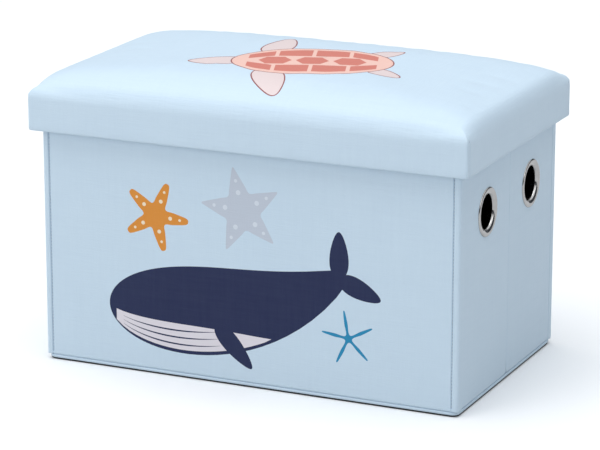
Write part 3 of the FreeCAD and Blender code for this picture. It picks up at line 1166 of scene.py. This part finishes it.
def pad_relief():
    """How the cover gives over its foam: a cloth that is held at its edge, a little loose, and
    blown up from below. Its even swell is left out, as the crown has it already."""
    half_x = LID_HALF_X - MM
    half_y = LID_HALF_Y - MM
    wide = round(2 * half_x / RELIEF_STEP) + 1
    deep = round(2 * half_y / RELIEF_STEP) + 1
    xs = np.linspace(-half_x, half_x, wide)
    ys = np.linspace(-half_y, half_y, deep)
    points = [(x, y, crown_height(x, y)) for y in ys for x in xs]
    faces = []
    for row in range(deep - 1):
        for column in range(wide - 1):
            first = row * wide + column
            faces.append((first, first + 1, first + wide + 1, first + wide))
    mesh = bpy.data.meshes.new("relief_cloth")
    mesh.from_pydata(points, [], faces)
    cloth_object = new_object("relief_cloth", mesh)
    scene = bpy.context.scene
    held = cloth_object.vertex_groups.new(name="held")
    edge = [i for i in range(len(points)) if i % wide in (0, wide - 1) or i // wide in (0, deep - 1)]
    held.add(edge, 1.0, "REPLACE")
    modifier = cloth_object.modifiers.new("cloth", "CLOTH")
    cloth = modifier.settings
    cloth.quality = 6
    cloth.mass = 0.3
    cloth.tension_stiffness = 12.0
    cloth.compression_stiffness = 6.0
    cloth.shear_stiffness = 4.0
    cloth.bending_stiffness = 0.15
    cloth.shrink_min = -0.02
    cloth.vertex_group_mass = "held"
    cloth.use_pressure = True
    cloth.uniform_pressure_force = 4.0
    cloth.effector_weights.gravity = 0.0
    modifier.point_cache.frame_start = 1
    modifier.point_cache.frame_end = RELIEF_FRAMES
    for number in range(1, RELIEF_FRAMES + 1):
        scene.frame_set(number)
    graph = bpy.context.evaluated_depsgraph_get()
    settled = cloth_object.evaluated_get(graph).data
    after = np.array([v.co for v in settled.vertices])
    scene.frame_set(1)
    bpy.data.objects.remove(cloth_object)
    bpy.data.meshes.remove(mesh)
    moves = (after - np.array(points)).reshape(deep, wide, 3)
    even = moves.copy()
    for _ in range(RELIEF_SPREAD):
        wider = np.pad(even, ((1, 1), (1, 1), (0, 0)), "edge")
        even = (wider[2:, 1:-1] + wider[:-2, 1:-1] + wider[1:-1, 2:] + wider[1:-1, :-2]) / 4
    rise = moves - even
    away_x = np.minimum(xs + half_x, half_x - xs)[None, :]
    away_y = np.minimum(ys + half_y, half_y - ys)[:, None]
    fade = np.clip((np.minimum(away_x, away_y) - 6 * MM) / (20 * MM), 0, 1)[:, :, None]
    return xs, ys, np.clip(rise * fade * RELIEF_SHARE, -RELIEF_CAP, RELIEF_CAP)


def press_relief(piece):
    """Moves a lid piece's crown by the cloth's relief."""
    xs, ys, relief = pad_relief()
    places = np.array([v.co for v in piece.data.vertices])
    across = np.clip((places[:, 0] - xs[0]) / (xs[1] - xs[0]), 0, len(xs) - 1.001)
    along = np.clip((places[:, 1] - ys[0]) / (ys[1] - ys[0]), 0, len(ys) - 1.001)
    column = across.astype(int)
    row = along.astype(int)
    u = (across - column)[:, None]
    v = (along - row)[:, None]
    near_row = relief[row, column] * (1 - u) + relief[row, column + 1] * u
    far_row = relief[row + 1, column] * (1 - u) + relief[row + 1, column + 1] * u
    share = np.clip((places[:, 2] - SHOULDER_FOOT - 5 * MM) / (6 * MM), 0, 1)[:, None]
    moved = places + (near_row * (1 - v) + far_row * v) * share
    piece.data.vertices.foreach_set("co", moved.ravel())
    piece.data.update()


def make_lid_cover():
    """The lid's cover: a crowned top, rounded shoulders, a straight skirt and its turned hem."""
    foot = LID_LOW.z
    hem_top = foot + 12 * MM
    rings = []
    for step in range(9, 0, -1):
        angle = math.radians(90 * step / 9)
        inset = SHOULDER_REACH * (1 - math.cos(angle))
        rings.append(lid_ring(inset, None, SEAM_DEPTH if step < 5 else 0.0))
    crown_loop = [(x, y) for x, y, _ in rings[0]]
    crown_edge = SHOULDER_REACH
    for height in np.linspace(SHOULDER_FOOT, foot + 2 * MM, 8):
        rings.append(lid_ring(0.0, height, SEAM_DEPTH))
    for angle in (30, 60, 90):
        turn = math.radians(angle)
        inset = 2 * MM * (1 - math.cos(turn))
        rings.append(lid_ring(inset, foot + 2 * MM * (1 - math.sin(turn)), SEAM_DEPTH * (angle < 60)))
    for angle in (0, 45, 90):
        turn = math.radians(angle)
        inset = RIM + 0.6 * MM - 1.5 * MM * (1 - math.sin(turn))
        rings.append(lid_ring(inset, foot + 1.5 * MM * (1 - math.cos(turn))))
    rings.append(lid_ring(RIM + 0.6 * MM, hem_top))
    rings.append(lid_ring(RIM, hem_top + 0.4 * MM))
    rings.append(lid_ring(RIM, LID_REST))
    draft = Draft()
    draft.loft(rings)
    loose = even_grid(LID_HALF_X - crown_edge - 3 * MM, LID_HALF_Y - crown_edge - 3 * MM, 5 * MM)
    found, triangles, inks = triangulate(crown_loop, (), in_metres(lid_motifs()), loose)
    draft.add([(x, y, crown_height(x, y)) for x, y in found], triangles, inks)
    draft.cap(rings[-1])
    piece = draft.piece("lid_padded_cover", PRINTED_COVER, True)
    press_relief(piece)
    settle(piece, "lid", "leatherette", "lid_cover")


def make_lid_filling():
    """The board under the lid's pad, and the foam cut to the crown."""
    board_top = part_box("lid_board")[1].z
    half_x = LID_HALF_X - 4 * MM
    half_y = LID_HALF_Y - 4 * MM
    board = Draft(FLAT_PLACE)
    outline = rounded(half_x, -half_y, half_y, 3 * MM, 3 * MM)
    board.plate(outline, -board_top, -(LID_REST + 0.1 * MM), 0.4 * MM, 0.4 * MM)
    piece = board.piece("lid_panel", BOARD)
    settle(piece, "lid", "wall_board", "lid_board")
    foam = Draft()
    rings = []
    for inset in (12, 9, 7, 5.5, 4.6):
        rings.append([(x, y, z - FOAM_GAP) for x, y, z in lid_ring(inset * MM)])
    rings.append(lid_ring(4.2 * MM, board_top + 0.1 * MM))
    foam.loft(rings)
    top_loop = [(x, y) for x, y, _ in rings[0]]
    loose = even_grid(LID_HALF_X - 18 * MM, LID_HALF_Y - 18 * MM, 12 * MM)
    found, triangles, _ = triangulate(top_loop, (), (), loose)
    foam.add([(x, y, crown_height(x, y) - FOAM_GAP) for x, y in found], triangles)
    foam.cap(rings[-1])
    piece = foam.piece("lid_foam_block", FOAM)
    settle(piece, "lid", "foam", "lid_foam")


def make_lid_lining():
    """The black cloth inside the lid: its ceiling, and its sides down to the hem."""
    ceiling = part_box("lid_lining")[1].z - 0.6 * MM
    hem_top = LID_LOW.z + 11.5 * MM
    rings = [
        lid_ring(RIM + 0.05 * MM, ceiling + 0.5 * MM),
        lid_ring(RIM + 0.05 * MM, hem_top),
        lid_ring(RIM + 0.5 * MM, hem_top),
        lid_ring(RIM + 0.5 * MM, ceiling - 3 * MM),
        lid_ring(RIM + 0.9 * MM, ceiling - 1.4 * MM),
        lid_ring(RIM + 1.8 * MM, ceiling - 0.4 * MM),
        lid_ring(RIM + 3.2 * MM, ceiling),
    ]
    draft = Draft()
    draft.loft(rings)
    draft.cap(rings[0])
    draft.cap(rings[-1])
    piece = draft.piece("lid_inner_lining", LINING)
    settle(piece, "lid", "lining_cloth", "lid_lining")


make_lid_cover()
make_lid_filling()
make_lid_lining()


# --- stitches ------------------------------------------------------------------------------------


def make_stitch_group():
    """Geometry nodes that set a stitch at even steps along each line of a mesh of edges."""
    tree = bpy.data.node_groups.new("stitch_lines", "GeometryNodeTree")
    sockets = tree.interface
    sockets.new_socket("Lines", in_out="INPUT", socket_type="NodeSocketGeometry")
    for label, value in (("Pitch", 3.4 * MM), ("Length", 2.5 * MM), ("Thread", 0.8 * MM)):
        socket = sockets.new_socket(label, in_out="INPUT", socket_type="NodeSocketFloat")
        socket.default_value = value
    seed = sockets.new_socket("Seed", in_out="INPUT", socket_type="NodeSocketInt")
    seed.default_value = 7
    material = sockets.new_socket("Material", in_out="INPUT", socket_type="NodeSocketMaterial")
    material.default_value = THREAD
    sockets.new_socket("Stitches", in_out="OUTPUT", socket_type="NodeSocketGeometry")
    given = tree.nodes.new("NodeGroupInput")
    result = tree.nodes.new("NodeGroupOutput")
    curve = node(tree, "GeometryNodeMeshToCurve", Mesh=given.outputs["Lines"])
    spots = node(tree, "GeometryNodeCurveToPoints", {"mode": "LENGTH"}, Curve=curve.outputs[0])
    feed(tree, spots.inputs["Length"], given.outputs["Pitch"])
    kind = "FunctionNodeAlignRotationToVector"
    aligned = node(tree, kind, {"axis": "Z"}, Vector=spots.outputs["Tangent"])
    drop = node(tree, "GeometryNodeMeshUVSphere", Segments=8, Rings=6, Radius=0.5)
    uneven = node(tree, "FunctionNodeRandomValue", {"data_type": "FLOAT"}, Seed=given.outputs["Seed"])
    uneven.inputs[2].default_value = 0.88
    uneven.inputs[3].default_value = 1.06
    longer = node(tree, "ShaderNodeMath", {"operation": "MULTIPLY"}, in_0=given.outputs["Length"])
    feed(tree, longer.inputs[1], uneven.outputs[1])
    size = node(tree, "ShaderNodeCombineXYZ", X=given.outputs["Thread"], Y=given.outputs["Thread"])
    feed(tree, size.inputs["Z"], longer.outputs[0])
    inputs = {"Points": spots.outputs["Points"], "Instance": drop.outputs["Mesh"]}
    inputs |= {"Rotation": aligned.outputs["Rotation"], "Scale": size.outputs[0]}
    placed = node(tree, "GeometryNodeInstanceOnPoints", **inputs)
    real = node(tree, "GeometryNodeRealizeInstances", Geometry=placed.outputs["Instances"])
    smooth = node(tree, "GeometryNodeSetShadeSmooth", Geometry=real.outputs[0])
    dressed = node(tree, "GeometryNodeSetMaterial", Geometry=smooth.outputs[0])
    feed(tree, dressed.inputs["Material"], given.outputs["Material"])
    tree.links.new(dressed.outputs[0], result.inputs["Stitches"])
    return tree


STITCHES = make_stitch_group()


def sew(name, body, lines, **values):
    """One mesh of stitches along lines of points, which rides on a body."""
    points = [p for line in lines for p in line]
    edges = []
    start = 0
    for line in lines:
        edges.extend((start + i, start + i + 1) for i in range(len(line) - 1))
        start += len(line)
    guide_mesh = bpy.data.meshes.new(f"{name}_guide")
    guide_mesh.from_pydata([tuple(p) for p in points], edges, [])
    guide = new_object(f"{name}_guide", guide_mesh)
    modifier = guide.modifiers.new("stitches", "NODES")
    modifier.node_group = STITCHES
    for item in STITCHES.interface.items_tree:
        if item.in_out == "INPUT" and item.name in values:
            modifier[item.identifier] = values[item.name]
    graph = bpy.context.evaluated_depsgraph_get()
    graph.update()
    mesh = bpy.data.meshes.new_from_object(guide.evaluated_get(graph))
    mesh.name = name
    bpy.data.objects.remove(guide)
    bpy.data.meshes.remove(guide_mesh)
    settle(new_object(name, mesh), body, "leatherette")


def sew_walls():
    """The seams beside the corners of the long walls, and every wall's hem."""
    for name, (body, _) in WALLS.items():
        length, low, high = wall_size(name)
        place = wall_frame(name)
        half = length / 2
        lines = []
        hem = high - HEM + 2.5 * MM
        inside = WALL_THICK - HEM_DROP - 0.22 * MM
        lines.append([(-half + 3 * MM, inside, hem), (half - 3 * MM, inside, hem)])
        if name not in LEAVES:
            for side in (-1, 1):
                x = side * (half - SEAM)
                sunk = GROOVE - 0.15 * MM
                lines.append([(x, sunk, low + 5 * MM), (x, sunk, high - 3.5 * MM)])
        sew(f"{name}_wall_stitches", body, [[place @ Vector(p) for p in line] for line in lines])


def sew_lid():
    """The seams beside the lid's upright corners, and the hem inside its skirt."""
    lines = []
    foot = LID_LOW.z + 3.5 * MM
    for side in (-1, 1):
        for end in (-1, 1):
            x = side * (LID_HALF_X - SEAM_DEPTH + 0.15 * MM)
            y = end * (LID_HALF_Y - SEAM_BESIDE)
            lines.append([(x, y, foot), (x, y, SHOULDER_FOOT + 3 * MM)])
    inset = RIM + 0.65 * MM
    loop = [(x, y, LID_LOW.z + 9.5 * MM) for x, y in lid_outline(inset)]
    lines.append([*loop, loop[0]])
    sew("lid_stitches", "lid", lines)


def sew_base():
    """The box of stitches that holds the ribbon loop to the base board."""
    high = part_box("pull_tab")[1]
    near = high.y - 13 * MM
    far = high.y - 2.5 * MM
    side = high.x - 3 * MM
    lift = 4.7 * MM
    box = [(-side, near, lift), (side, near, lift), (side, far, lift), (-side, far, lift)]
    lines = [[*box, box[0]], [box[0], box[2]], [box[1], box[3]]]
    sew("ribbon_stitches", "base", lines, Pitch=2.6 * MM, Length=1.9 * MM, Thread=0.5 * MM)


sew_walls()
sew_lid()
sew_base()


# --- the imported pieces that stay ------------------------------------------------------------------

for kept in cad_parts:
    if kept.endswith("_board") or kept.startswith("lid_rim"):
        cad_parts[kept].data.materials.clear()
        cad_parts[kept].data.materials.append(BOARD)


# --- stage, light and camera ---------------------------------------------------------------------


def make_stage():
    """A plain pale floor, which throws back less light than it shows."""
    bpy.ops.mesh.primitive_plane_add(size=14.0, location=(0, 0, -0.0004))
    floor = bpy.context.object
    floor.name = "floor"
    material, tree, shader = new_material("pale_floor")
    ray = node(tree, "ShaderNodeLightPath")
    bounced = (0.6, 0.6, 0.6, 1.0)
    seen = (0.95, 0.95, 0.95, 1.0)
    colour = mix_colours(tree, ray.outputs["Is Camera Ray"], bounced, seen)
    dress(tree, shader, Base_Color=colour, Roughness=0.9)
    floor.data.materials.append(material)


def aim_lamp(name, kind, place, power):
    """A lamp at a place, which faces the middle of the box."""
    data = bpy.data.lights.new(name, kind)
    data.energy = power
    lamp = new_object(name, data)
    lamp.location = place
    aim = Vector((0, 0, 0.2)) - Vector(place)
    lamp.rotation_euler = aim.to_track_quat("-Z", "Y").to_euler()
    return data


def make_light():
    """Broad light from above, softer light from the left front and the right, and a pale sky that
    is darker low down where metal mirrors it."""
    above = aim_lamp("broad_top", "SUN", (-0.3, -0.3, 3.2), 1.98)
    above.angle = math.radians(60)
    front = aim_lamp("front_panel", "AREA", (-1.5, -2.7, 1.1), 21.0)
    front.size = 1.8
    side = aim_lamp("side_panel", "AREA", (2.8, -0.5, 1.5), 7.0)
    side.size = 1.6
    world = bpy.data.worlds.new("pale_sky")
    world.use_nodes = True
    tree = world.node_tree
    tree.nodes.clear()
    direction = node(tree, "ShaderNodeTexCoord").outputs["Generated"]
    height = node(tree, "ShaderNodeSeparateXYZ", Vector=direction).outputs["Z"]
    settings = {"interpolation_type": "SMOOTHSTEP"}
    band = node(tree, "ShaderNodeMapRange", settings, Value=height, From_Min=0.25, From_Max=0.6)
    dark = shade(70, 74, 80)
    bright = shade(250, 252, 255)
    reflected = mix_colours(tree, band.outputs["Result"], dark, bright)
    ray = node(tree, "ShaderNodeLightPath")
    even = (0.44, 0.475, 0.515, 1.0)
    seen = mix_colours(tree, ray.outputs["Is Glossy Ray"], even, reflected)
    sky = node(tree, "ShaderNodeBackground", Color=seen)
    output = node(tree, "ShaderNodeOutputWorld")
    tree.links.new(sky.outputs["Background"], output.inputs["Surface"])
    bpy.context.scene.world = world
    bpy.context.scene.view_settings.view_transform = "Standard"


def make_camera():
    """A long lens from the right of the front, a little above."""
    data = bpy.data.cameras.new("camera")
    data.sensor_width = 36.0
    data.lens = 179.15
    data.clip_end = 50.0
    camera = new_object("camera", data)
    camera.location = (1.2385, -2.7157, 0.9716)
    camera.rotation_euler = (math.radians(90 - 15.6417), 0.0, math.radians(24.5467))
    bpy.context.scene.camera = camera


make_stage()
make_light()
make_camera()
